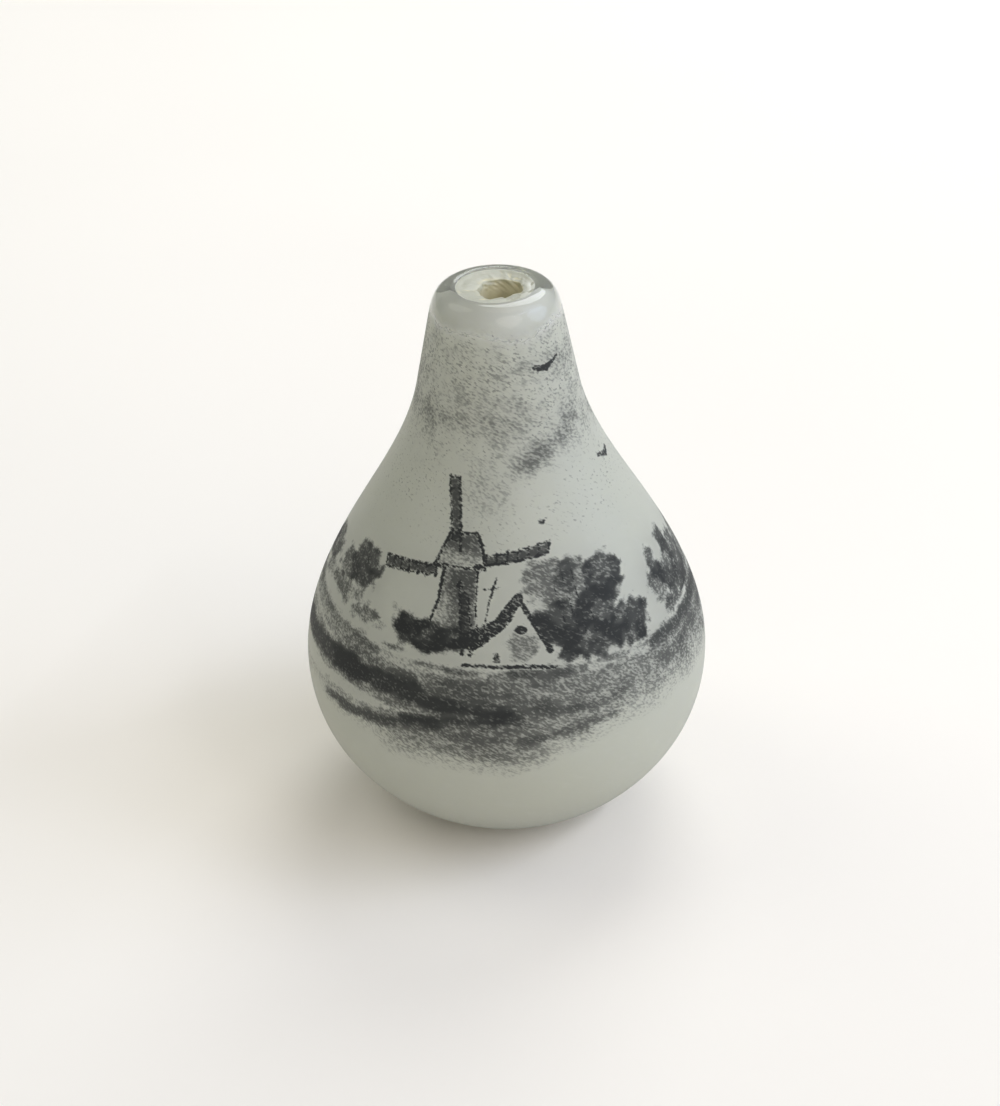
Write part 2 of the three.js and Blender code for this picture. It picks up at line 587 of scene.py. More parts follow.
@dataclass(frozen=True)
class Windmill:
    """A tower mill with a tapered cap, four lattice sails and a tail pole."""

    girth: float = -4.9
    arc: float = 26.3
    tower: tuple[Point, ...] = ((-2.1, 0.3), (1.9, 0.3), (1.5, 2.4), (1.35, 5.3), (-1.2, 5.3), (-1.4, 2.6))
    cap: tuple[Point, ...] = ((-2.0, 5.3), (1.9, 5.3), (1.45, 7.1), (0.95, 7.9), (-1.05, 7.8), (-1.5, 6.6))
    hub: Point = (0.0, 5.4)
    sail_length: float = 6.6
    sail_root: float = 1.9
    sail_width: float = 0.8
    sail_turn: float = 7.0
    bars: int = 6
    windows: tuple[Point, ...] = ((0.55, 1.9), (0.15, 4.0))
    window_half: Point = (0.34, 0.3)
    tail_pole: tuple[Point, ...] = ((2.35, 1.3), (2.5, 2.9), (2.8, 4.6))
    tail_bar: tuple[Point, ...] = ((2.0, 3.8), (3.1, 3.95))

    def paint(self, wall: PaintedWall) -> None:
        """Paints the mill from the tower to the sails.

        Args:
            wall: The canvas.
        """
        x, y = wall.at(self.girth, self.arc)
        darker = ease(x, -0.9, -0.3) + ease(y, 2.4, 3.6)
        wall.shade(ease(patch(x, y, self.tower), -0.12, 0.2) * np.clip(0.3 + 0.3 * darker, 0.0, 0.78))
        wall.shade(ease(patch(x, y, self.cap), -0.1, 0.2) * (0.34 + 0.42 * ease(y, 5.9, 7.0)))
        for window in self.windows:
            wall.draw(oval(x, y, window, self.window_half))
        tower, cap = self.tower, self.cap
        outlines = (
            ([tower[0], tower[5], tower[4]], 0.24, 0.34),
            ([tower[1], tower[2], tower[3]], 0.14, 0.2),
            ([cap[0], cap[1]], 0.26, 0.26),
            ([cap[0], cap[5], cap[4]], 0.3, 0.24),
            ([cap[4], cap[3]], 0.26, 0.26),
            ([cap[3], cap[2], cap[1]], 0.36, 0.24),
            (self.tail_pole, 0.14, 0.18),
            (self.tail_bar, 0.14, 0.14),
        )
        for route, width, end_width in outlines:
            wall.draw(stroke(x, y, route, width, end_width))
        self.paint_sails(wall, x - self.hub[0], y - self.hub[1])

    def paint_sails(self, wall: PaintedWall, x: Field, y: Field) -> None:
        """Paints four sails round the hub, each a stock with a clogged lattice on one side.

        Args:
            wall: The canvas.
            x: Places across from the hub.
            y: Places up from the hub.
        """
        root, tip, edge = self.sail_root, self.sail_length, self.sail_width
        for quarter in range(4):
            turn = math.radians(self.sail_turn + 90 * quarter)
            along = x * math.cos(turn) + y * math.sin(turn)
            beside = -x * math.sin(turn) + y * math.cos(turn)
            cloth = patch(along, beside, [(root, -0.1), (tip, -0.1), (tip, edge), (root, edge * 0.75)])
            wall.shade(0.82 * ease(cloth, -0.08, 0.12))
            wall.draw(stroke(along, beside, [(root * 0.6, 0.0), (tip, 0.0)], 0.3, 0.26))
            wall.draw(stroke(along, beside, [(root, edge * 0.75), (tip, edge)], 0.2))
            for bar in range(self.bars + 1):
                place = root + (tip - root) * bar / self.bars
                wall.draw(stroke(along, beside, [(place, 0.0), (place + 0.1, edge)], 0.22))


@dataclass(frozen=True)
class Cottage:
    """A small thatched house, seen gable on, with a door, two windows and a low wing at the left."""

    girth: float = 1.2
    arc: float = 24.3
    left: float = -2.6
    right: float = 2.15
    eaves: float = 1.9
    ridge: float = 5.2
    thatch: float = 1.35
    wing: float = 1.6

    def paint(self, wall: PaintedWall) -> None:
        """Paints the house and leaves its wall bare but for a little shade.

        Args:
            wall: The canvas.
        """
        x, y = wall.at(self.girth, self.arc)
        left, right = self.left, self.right
        gable = patch(x, y, [
            (left - self.wing, 0.05), (right, 0.05), (right, 0.9),
            (0.1, self.ridge), (left, self.eaves), (left - self.wing, 1.3),
        ])
        wall.wipe(gable, keep=0.06)
        blots = drift(x + 60, y + 60, (0.7, 0.6), 81)
        shaded = oval(x, y, (0.35, 1.7), (1.6, 1.25)) + 0.9 * (blots - 0.5)
        wall.shade(0.5 * ease(shaded, -0.1, 0.5) * ease(gable, 0.0, 0.3))
        slope = [(0.05, self.ridge - 0.1), (left + 1.1, 3.2), (left - 1.2, self.eaves)]
        wall.draw(stroke(x, y, slope, self.thatch * 0.6, self.thatch) + 0.2 * (blots - 0.5))
        far_slope = [(0.0, self.ridge), (0.9, 3.6), (right + 0.1, 1.0)]
        wall.draw(stroke(x, y, far_slope, 0.34, 0.5))
        door = [(-2.1, 0.35), (-1.55, 0.35), (-1.7, 1.1), (-2.05, 1.1)]
        wall.draw(patch(x, y, door))
        wall.draw(oval(x, y, (0.1, 2.75), (0.5, 0.34)))
        wall.draw(oval(x, y, (left - 1.2, 0.95), (0.26, 0.16)))
        ground = [(left - 1.9, 0.1), (0.0, 0.02), (right + 0.4, -0.3)]
        wall.draw(stroke(x, y, ground, 0.24, 0.36))


@dataclass(frozen=True)
class Grove:
    """Trees and bushes as clustered crowns.

    Each crown has its centre and half sizes, measured from the grove's foot, and its darkness.
    """

    girth: float
    arc: float
    crowns: tuple[tuple[float, float, float, float, float], ...]
    seed: int
    ragged: float = 0.55
    trunks: tuple[Point, ...] = ()

    def paint(self, wall: PaintedWall) -> None:
        """Paints each crown as broken dabs, then the trunks over them.

        Args:
            wall: The canvas.
        """
        x, y = wall.at(self.girth, self.arc)
        dabs = drift(x + 60, y + 60, (0.5, 0.4), self.seed)
        clumps = drift(x + 60, y + 60, (1.2, 0.9), self.seed + 1)
        for cx, cy, rx, ry, tone in self.crowns:
            crown = oval(x, y, (cx, cy), (rx, ry)) + self.ragged * (dabs - 0.5) + 0.5 * (clumps - 0.5)
            body = ease(crown, -0.16, 0.34)
            wall.shade(body * tone * (0.84 + 0.3 * dabs + 0.3 * (clumps - 0.5)))
        for tx, height in self.trunks:
            lean = 0.14 * math.sin(7.0 * tx)
            wall.draw(stroke(x, y, [(tx, height * 0.3), (tx + lean, height)], 0.24, 0.12))


@dataclass(frozen=True)
class Sweep:
    """A sweep of the dry brush along the ground, through places of girth and arc."""

    route: tuple[Point, ...]
    width: float
    end_width: float
    tone: float

    def inside(self, wall: PaintedWall) -> Field:
        """Draws the sweep with its ragged dry edge.

        Args:
            wall: The canvas.

        Returns:
            The distance inside the sweep.
        """
        sway = wall.mottle(64, 0.7, 31) - 0.5
        comb = wall.mottle(170, 0.26, 32) - 0.5
        mark = stroke(wall.girth, wall.arc, self.route, self.width, self.end_width)
        return mark + 0.55 * sway + 0.4 * comb

    def paint(self, wall: PaintedWall) -> None:
        """Rubs the sweep on."""
        wall.shade(ease(self.inside(wall), -0.35, 0.4) * self.tone)

    def lift(self, wall: PaintedWall) -> None:
        """Wipes the sweep off again, down to its tone."""
        wall.wipe(self.inside(wall), keep=self.tone)


@dataclass(frozen=True)
class Meadow:
    """The ground that runs round the vase: a grey field with dark and bare sweeps, fading out below.

    Its upper edge, its lower edge and its darkness are each given at some places of the girth.
    """

    shore: tuple[Point, ...] = (
        (-50.3, 24.3), (-26.0, 24.8), (-11.0, 24.2), (4.0, 24.0), (14.0, 23.6), (50.3, 24.3),
    )
    foot: tuple[Point, ...] = (
        (-50.3, 18.4), (-30.0, 18.0), (-17.0, 17.3), (-9.0, 15.8),
        (-2.0, 14.9), (4.0, 16.4), (12.0, 17.9), (50.3, 18.4),
    )
    darkness: tuple[Point, ...] = (
        (-50.3, 0.5), (-26.0, 0.34), (-11.0, 0.44), (-4.0, 0.66),
        (2.0, 0.6), (9.0, 0.46), (20.0, 0.6), (50.3, 0.5),
    )

    def paint(self, wall: PaintedWall) -> None:
        """Paints the field, wipes the bare sweeps out of it and rubs the dark ones in.

        Args:
            wall: The canvas.
        """
        arc = wall.arc
        lines = (self.shore, self.foot, self.darkness)
        shore, foot, darkness = (np.interp(wall.girth, *zip(*line)) for line in lines)
        foot = foot + 1.3 * (wall.mottle(52, 2.4, 11) - 0.5)
        streaky = wall.mottle(70, 0.6, 13) * 0.6 + wall.mottle(150, 0.35, 14) * 0.4
        body = ease(arc - foot, -0.5, 3.4) * ease(shore + 0.3 * (streaky - 0.5) - arc, -0.1, 0.3)
        wall.shade(body * darkness * (0.55 + 0.9 * streaky))
        for sweep in self.bare_sweeps():
            sweep.lift(wall)
        for sweep in self.dark_sweeps():
            sweep.paint(wall)

    @staticmethod
    def bare_sweeps() -> list[Sweep]:
        """Gives the light sweeps, with what they keep of the grey."""
        return [
            Sweep(((-30.0, 19.3), (-18.0, 19.4), (-12.5, 19.7), (-8.0, 20.0)), 2.3, 0.4, 0.04),
            Sweep(((-30.0, 23.0), (-21.0, 22.8), (-17.0, 22.6)), 1.0, 0.4, 0.3),
            Sweep(((-11.5, 23.6), (-6.5, 23.5), (-2.0, 23.5)), 0.6, 0.5, 0.4),
            Sweep(((7.0, 23.4), (10.0, 23.2), (13.0, 22.9)), 0.5, 0.4, 0.3),
            Sweep(((28.0, 21.0), (38.0, 20.4), (46.0, 21.0)), 0.7, 0.6, 0.3),
            Sweep(((-48.0, 20.6), (-38.0, 20.2)), 0.9, 0.6, 0.3),
        ]

    @staticmethod
    def dark_sweeps() -> list[Sweep]:
        """Gives the dark sweeps, with their darkness."""
        return [
            Sweep(((-36.0, 21.3), (-26.0, 21.0), (-18.0, 21.3), (-13.0, 21.5)), 0.9, 1.9, 0.8),
            Sweep(((-16.0, 21.7), (-9.0, 21.6), (-5.0, 21.0), (0.0, 20.6)), 2.0, 1.1, 0.9),
            Sweep(((-16.0, 23.2), (-12.0, 22.9), (-8.0, 22.5)), 0.8, 0.7, 0.55),
            Sweep(((-8.5, 19.5), (-4.0, 20.1), (1.0, 20.2)), 0.7, 0.8, 0.75),
            Sweep(((-1.0, 20.6), (4.0, 20.8), (9.5, 20.6)), 1.1, 0.5, 0.5),
            Sweep(((-17.2, 17.8), (-13.5, 18.1), (-9.5, 18.9), (-6.0, 19.6)), 0.8, 1.0, 0.75),
            Sweep(((1.5, 18.4), (4.5, 18.9), (8.5, 19.3)), 0.8, 0.5, 0.5),
            Sweep(((-30.0, 24.6), (-20.0, 24.3), (-12.0, 23.9)), 1.1, 0.5, 0.5),
            Sweep(((13.5, 23.2), (18.0, 23.0), (27.0, 22.8), (38.0, 22.6)), 0.7, 1.7, 0.72),
            Sweep(((14.0, 21.2), (20.0, 21.8), (27.0, 21.6)), 0.8, 1.2, 0.35),
            Sweep(((22.0, 23.4), (25.0, 25.0), (28.5, 26.6)), 1.6, 3.4, 0.6),
            Sweep(((0.4, 23.9), (2.6, 23.7), (5.0, 23.6)), 0.5, 0.7, 0.6),
            Sweep(((36.0, 22.4), (44.0, 21.6), (50.3, 21.6)), 1.4, 1.2, 0.65),
            Sweep(((-50.3, 21.6), (-43.0, 22.2), (-34.0, 21.4)), 1.2, 1.0, 0.7),
        ]


@dataclass(frozen=True)
class Sky:
    """Speckled clouds over the shoulder and neck, and a few birds."""

    cloud_wash: float = 0.52
    back_thinning: float = 0.8

    def paint(self, wall: PaintedWall) -> None:
        """Paints the haze and the clouds, then the birds.

        Args:
            wall: The canvas.
        """
        girth, arc = wall.girth, wall.arc
        patches = wall.mottle(26, 1.5, 21) * 0.6 + wall.mottle(60, 0.8, 22) * 0.4
        haze = 0.24 * ease(arc, 29.0, 36.0) + 0.2 * ease(arc, 38.0, 42.5)
        smoky = wall.mottle(36, 0.9, 23) * 0.5 + wall.mottle(90, 0.45, 24) * 0.5
        wall.dust(haze * (0.4 + 1.2 * patches))
        wall.shade(0.2 * ease(arc, 37.0, 42.5) * ease(smoky + 0.5 * patches, 0.45, 1.1))
        for cx, cy, rx, ry, amount, slant in self.clouds():
            x, y = girth - cx, arc - cy
            shape = 1 - np.hypot(x / rx, (y - slant * x) / ry)
            body = ease(shape + 0.8 * (patches - 0.5), 0.0, 1.0)
            wall.dust(body * amount)
            wall.shade(body * amount * self.cloud_wash)
        back = ease(np.abs(girth), 24.0, 30.0) * ease(arc, 41.5, 44.5)
        wall.grain *= 1 - self.back_thinning * back
        wall.wash *= 1 - self.back_thinning * back
        for cx, cy, heavy, light in self.birds():
            x, y = wall.at(cx, cy)
            brush = min(abs(light), 1.0)
            near_wing = [(-heavy, 0.1), (-heavy * 0.5, -0.04), (0.0, -0.12)]
            far_wing = [(0.0, -0.12), (light * 0.45, 0.06), (light, 0.3 * abs(light))]
            wall.draw(stroke(x, y, near_wing, 0.4 * brush, 0.6 * brush))
            wall.draw(stroke(x, y, far_wing, 0.5 * brush, 0.24 * brush))

    @staticmethod
    def birds() -> list[tuple[float, float, float, float]]:
        """Gives each bird's girth, arc and the signed lengths of its two wings."""
        return [
            (11.0, 46.2, 1.0, 1.35),
            (21.4, 37.1, -0.6, -1.35),
            (5.2, 34.9, 0.3, 0.45),
            (-40.0, 38.0, 0.8, 0.9),
        ]

    @staticmethod
    def clouds() -> list[tuple[float, float, float, float, float, float]]:
        """Gives each cloud's girth, arc, half width, half height, amount and slant."""
        return [
            (6.0, 39.5, 7.5, 1.9, 1.0, 0.06),
            (15.0, 41.2, 8.0, 2.2, 0.75, 0.06),
            (-4.0, 43.0, 14.0, 2.6, 0.5, -0.05),
            (-18.0, 42.6, 11.0, 2.4, 0.55, -0.12),
            (-2.0, 37.4, 6.0, 2.4, 0.36, -0.1),
            (14.0, 46.2, 14.0, 1.8, 0.4, 0.0),
            (26.0, 40.5, 9.0, 2.4, 0.45, -0.1),
            (-38.0, 41.5, 13.0, 2.6, 0.45, 0.05),
            (44.0, 42.5, 12.0, 2.6, 0.45, 0.0),
        ]


@dataclass(frozen=True)
class Landscape:
    """The whole grey landscape round the vase."""

    def paint(self, wall: PaintedWall) -> None:
        """Paints the sky, the far trees, the ground and the figures, from back to front.

        Args:
            wall: The canvas.
        """
        Sky().paint(wall)
        for grove in self.far_groves():
            grove.paint(wall)
        Meadow().paint(wall)
        Windmill().paint(wall)
        for grove in self.near_groves():
            grove.paint(wall)
        Cottage().paint(wall)

    @staticmethod
    def far_groves() -> list[Grove]:
        """Gives the paler trees at the sides and round the back."""
        return [
            Grove(-17.5, 25.0, (
                (0.4, 4.0, 2.1, 1.9, 0.82), (-1.6, 3.0, 1.6, 1.4, 0.62),
                (-1.0, 1.5, 2.5, 1.0, 0.6), (2.6, 0.8, 1.7, 0.75, 0.6),
            ), 41),
            Grove(-25.5, 25.2, (
                (0.0, 2.3, 2.1, 1.5, 0.72), (-1.8, 1.4, 1.7, 1.1, 0.6), (1.6, 1.0, 1.6, 0.9, 0.45),
            ), 43),
            Grove(19.9, 23.4, (
                (-1.6, 4.6, 0.8, 1.7, 0.78), (1.4, 4.7, 1.0, 1.8, 0.75), (-1.9, 3.0, 1.6, 1.4, 0.66),
                (1.7, 2.8, 3.4, 2.2, 0.68), (0.8, 1.7, 2.8, 1.1, 0.6), (-2.0, 0.9, 1.3, 0.5, 0.6),
            ), 45),
            Grove(33.0, 24.6, ((0.0, 2.4, 2.2, 1.8, 0.7), (2.4, 1.5, 1.8, 1.1, 0.6)), 47),
            Grove(45.0, 24.4, ((0.0, 1.5, 3.2, 1.1, 0.6), (-2.0, 2.3, 1.4, 1.2, 0.7)), 49),
            Grove(-36.0, 24.7, ((0.0, 2.2, 2.0, 1.6, 0.7), (1.9, 1.3, 1.8, 1.0, 0.55)), 51),
            Grove(-46.0, 24.5, ((0.0, 1.3, 2.8, 0.9, 0.6),), 53),
        ]

    @staticmethod
    def near_groves() -> list[Grove]:
        """Gives the dark bushes and trees round the mill and the cottage."""
        return [
            Grove(-7.0, 24.9, (
                (-1.9, 1.5, 1.4, 1.1, 0.95), (0.0, 1.2, 2.1, 1.3, 0.98), (1.7, 1.4, 1.8, 1.1, 0.97),
                (-2.2, 2.5, 0.8, 0.35, 0.6), (-3.4, -0.35, 0.9, 0.2, 0.7),
            ), 61, 0.45),
            Grove(8.0, 23.9, (
                (-2.3, 6.3, 2.2, 1.9, 0.56), (-0.4, 5.9, 1.5, 2.1, 0.62), (2.0, 5.8, 1.9, 1.7, 0.82),
                (2.2, 4.5, 1.7, 0.9, 0.72), (-2.0, 3.2, 2.8, 1.7, 0.93), (0.4, 3.6, 1.9, 1.8, 0.9),
                (-3.6, 2.9, 1.1, 1.4, 0.92), (3.0, 1.7, 2.5, 1.7, 0.85), (0.3, 1.4, 2.5, 1.5, 0.84),
                (-2.3, 0.8, 1.3, 0.8, 0.97), (4.1, 0.5, 0.8, 0.6, 0.9),
            ), 63, 0.6, trunks=((-1.2, 7.8), (-0.6, 7.0), (0.2, 6.4), (-2.0, 6.2))),
        ]


# Materials

class MaterialDesk:
    """Puts together the shader nodes of one material."""

    brush_slant: float = 30.0

    def __init__(self, name: str) -> None:
        """Starts a material with one Principled shader.

        Args:
            name: The material's name.
        """
        self.material = bpy.data.materials.new(name)
        self.material.use_nodes = True
        self.tree = self.material.node_tree
        self.shader = self.tree.nodes["Principled BSDF"]
        self.places = self.tree.nodes.new("ShaderNodeTexCoord").outputs["Object"]

    def put(self, socket: Socket, value: object) -> None:
        """Links a socket to another one, or sets its plain value.

        Args:
            socket: An input.
            value: An output or a plain value.
        """
        if isinstance(value, Socket):
            self.tree.links.new(value, socket)
        else:
            socket.default_value = value

    def set(self, **values: object) -> None:
        """Sets the shader's inputs, named with underscores for spaces."""
        for name, value in values.items():
            self.put(self.shader.inputs[name.replace("_", " ")], value)

    def layer(self, layer: Layer) -> Socket:
        """Reads one layer of the mesh.

        Args:
            layer: Which one.

        Returns:
            Its value.
        """
        node = self.tree.nodes.new("ShaderNodeAttribute")
        node.attribute_name = layer.value
        return node.outputs["Fac"]

    def noise(self, scale: float, detail: float, roughness: float, stretch: float = 1.0) -> Socket:
        """Makes a noise over the object.

        Args:
            scale: Number of features in a metre.
            detail: Number of finer layers.
            roughness: Strength of the finer layers.
            stretch: How much longer its features are along the slant of the brush than across it.

        Returns:
            Its value, mostly between 0.25 and 0.75.
        """
        node = self.tree.nodes.new("ShaderNodeTexNoise")
        places = self.tree.nodes.new("ShaderNodeMapping")
        places.vector_type = "TEXTURE"
        self.put(places.inputs["Vector"], self.places)
        self.put(places.inputs["Rotation"], (0.0, math.radians(self.brush_slant), 0.0))
        self.put(places.inputs["Scale"], (math.sqrt(stretch), 1.0, 1.0 / math.sqrt(stretch)))
        self.put(node.inputs["Vector"], places.outputs[0])
        self.put(node.inputs["Scale"], scale)
        self.put(node.inputs["Detail"], detail)
        self.put(node.inputs["Roughness"], roughness)
        return node.outputs["Fac"]

    def math(self, operation: str, a: object, b: object) -> Socket:
        """Works out one value from two.

        Args:
            operation: Name of the operation.
            a: A value or a socket.
            b: The same.

        Returns:
            The outcome, which isn't clamped.
        """
        node = self.tree.nodes.new("ShaderNodeMath")
        node.operation = operation
        self.put(node.inputs[0], a)
        self.put(node.inputs[1], b)
        return node.outputs[0]

    def plus(self, a: object, b: object) -> Socket:
        """Adds two values."""
        return self.math("ADD", a, b)

    def times(self, a: object, b: object) -> Socket:
        """Multiplies two values."""
        return self.math("MULTIPLY", a, b)

    def weigh(self, a: object, share_a: float, b: object, share_b: float) -> Socket:
        """Adds two values, each multiplied by its share."""
        return self.plus(self.times(a, share_a), self.times(b, share_b))

    def between(self, share: object, start: float, end: float) -> Socket:
        """Goes evenly from start to end as the share grows from 0 to 1."""
        return self.plus(self.times(share, end - start), start)

    def ramp(self, value: object, low: float, high: float, start: float = 0.0, end: float = 1.0) -> Socket:
        """Goes smoothly from start to end as a value grows from low to high.

        Args:
            value: The value or its socket.
            low: Where the rise starts.
            high: Where it ends.
            start: The outcome at low and below it.
            end: The outcome at high and above it.

        Returns:
            The outcome.
        """
        node = self.tree.nodes.new("ShaderNodeMapRange")
        node.interpolation_type = "SMOOTHSTEP"
        for name, number in (("From Min", low), ("From Max", high), ("To Min", start), ("To Max", end)):
            node.inputs[name].default_value = number
        self.put(node.inputs["Value"], value)
        return node.outputs["Result"]

    def blend(self, share: object, first: object, second: object) -> Socket:
        """Mixes two colours.

        Args:
            share: How much of the second shows.
            first: A colour or a colour socket.
            second: The same.

        Returns:
            The mixed colour.
        """
        node = self.tree.nodes.new("ShaderNodeMix")
        node.data_type = "RGBA"
        self.put(node.inputs[0], share)
        for index, colour in ((6, first), (7, second)):
            self.put(node.inputs[index], colour if isinstance(colour, Socket) else (*colour, 1.0))
        return node.outputs[2]

    def bump(self, height: object, distance: float, strength: float) -> Socket:
        """Turns a height into a normal.

        Args:
            height: The height, from 0 to 1.
            distance: The depth in metres.
            strength: How much of it shows.

        Returns:
            The normal.
        """
        node = self.tree.nodes.new("ShaderNodeBump")
        node.inputs["Distance"].default_value = distance
        self.put(node.inputs["Strength"], strength)
        self.put(node.inputs["Height"], height)
        return node.outputs["Normal"]


@dataclass(frozen=True)
class CasingGlass:
    """The grey-white outer glass: what its melted lip and its acid-matted skin have in common."""

    tint: Colour = (0.69, 0.705, 0.615)
    clear_tint: Colour = (0.985, 0.99, 0.97)
    refraction: float = 1.5
    melted: float = 0.06
    matt: float = 0.5
    matt_clearness: float = 0.5
    lip_clearness: float = 0.92
    enamel: Colour = (0.009, 0.011, 0.010)
    dry: float = 0.75
    grain_scale: float = 4400.0
    clump_scale: float = 1300.0
    grain_stretch: float = 2.6
    speck_darkness: float = 0.66
    fraying: float = 0.34

    def lip_material(self) -> bpy.types.Material:
        """Builds the see-through glass of the fire-polished lip, which is slightly wavy.

        Returns:
            The material.
        """
        desk = MaterialDesk("melted clear glass")
        desk.set(
            Base_Color=(*self.clear_tint, 1.0),
            Roughness=self.melted,
            Transmission_Weight=self.lip_clearness,
            IOR=self.refraction,
            Normal=desk.bump(desk.noise(330, 2.0, 0.5), 0.12 * MM, 0.5),
        )
        return desk.material

    def painted_material(self) -> bpy.types.Material:
        """Builds the matted skin with its painting: grains and rubbed greys where the layers say.

        Returns:
            The material.
        """
        desk = MaterialDesk("painted matt glass")
        fine = desk.noise(self.grain_scale, 1.5, 0.55, stretch=self.grain_stretch)
        clump = desk.noise(self.clump_scale, 2.0, 0.5, stretch=self.grain_stretch)
        grit = desk.ramp(desk.weigh(fine, 0.72, clump, 0.28), 0.33, 0.67)
        wash = desk.layer(Layer.WASH)
        rubbed = desk.ramp(desk.weigh(grit, 0.8, wash, 1.2), 0.42, 1.42)
        rubbed = desk.times(rubbed, desk.ramp(wash, 0.0, 0.12))
        rubbed = desk.weigh(rubbed, 0.6, wash, 0.4)
        frayed = desk.plus(desk.layer(Layer.INK), desk.times(desk.math("SUBTRACT", fine, 0.5), self.fraying))
        marks = desk.times(desk.ramp(frayed, -0.07, 0.06), desk.ramp(grit, 0.0, 0.4, 0.7, 1.0))
        dusty = desk.plus(desk.ramp(fine, 0.26, 0.74), desk.layer(Layer.GRAIN))
        specks = desk.ramp(dusty, 1.0, 1.42, 0.0, self.speck_darkness)
        cover = desk.math("MAXIMUM", desk.math("MAXIMUM", rubbed, marks), specks)
        melted = desk.ramp(desk.plus(desk.layer(Layer.POLISH), desk.times(clump, 0.5)), 0.25, 1.12)
        clearness = desk.between(melted, self.matt_clearness, self.lip_clearness)
        roughness = desk.between(melted, self.matt, self.melted)
        desk.set(
            Base_Color=desk.blend(cover, desk.blend(melted, self.tint, self.clear_tint), self.enamel),
            Roughness=desk.plus(roughness, desk.times(cover, self.dry - self.matt)),
            Transmission_Weight=desk.times(clearness, desk.math("SUBTRACT", 1.0, cover)),
            IOR=self.refraction,
            Normal=desk.bump(fine, 0.02 * MM, 0.25),
        )
        return desk.material


@dataclass(frozen=True)
class OpalGlass:
    """White opal glass, soiled in the broken mouth, where its break is also darkened at the left and behind
    as painted shade.
    """

    opal: Colour = (0.86, 0.87, 0.78)
    # Colour of the break, laid on more thickly at the left and behind as painted shade
    broken: Colour = (0.44, 0.44, 0.35)
    soil: Colour = (0.60, 0.56, 0.38)
    depth: float = 0.5

    def material(self) -> bpy.types.Material:
        """Builds the material, which turns to the darker break colour and to soil where the soil-and-shade
        layer and a fine noise say; the darker break colour is partly painted shade.

        Returns:
            The material.
        """
        desk = MaterialDesk("opal glass")
        grit = desk.noise(2100, 3.0, 0.6)
        grime_and_shade = desk.layer(Layer.GRIME_AND_SHADE)
        dirt = desk.ramp(desk.plus(grime_and_shade, desk.times(grit, 0.6)), 0.7, 1.3)
        # Painted shade: the darker break colour is laid on more at the left and behind
        opal_or_shaded_break = desk.blend(desk.ramp(grime_and_shade, 0.0, 0.3), self.opal, self.broken)
        desk.set(
            Base_Color=desk.blend(dirt, opal_or_shaded_break, self.soil),
            Roughness=0.38,
            Subsurface_Weight=0.6,
            Subsurface_Radius=(1.0, 1.0, 0.9),
            Subsurface_Scale=self.depth * MM,
            Normal=desk.bump(grit, 0.05 * MM, 0.35),
        )
        return desk.material


@dataclass(frozen=True)
class TableTop:
    """The plain pale floor."""

    colour: Colour = (0.940, 0.897, 0.825)
    unevenness: float = 0.97

    def material(self) -> bpy.types.Material:
        """Builds the material, which is a little cloudy.

        Returns:
            The material.
        """
        desk = MaterialDesk("pale floor")
        cloudy = desk.noise(9, 2.0, 0.5)
        shade = tuple(self.unevenness * channel for channel in self.colour)
        desk.set(Base_Color=desk.blend(desk.ramp(cloudy, 0.3, 0.7), self.colour, shade), Roughness=0.9)
        return desk.material


# The two glasses

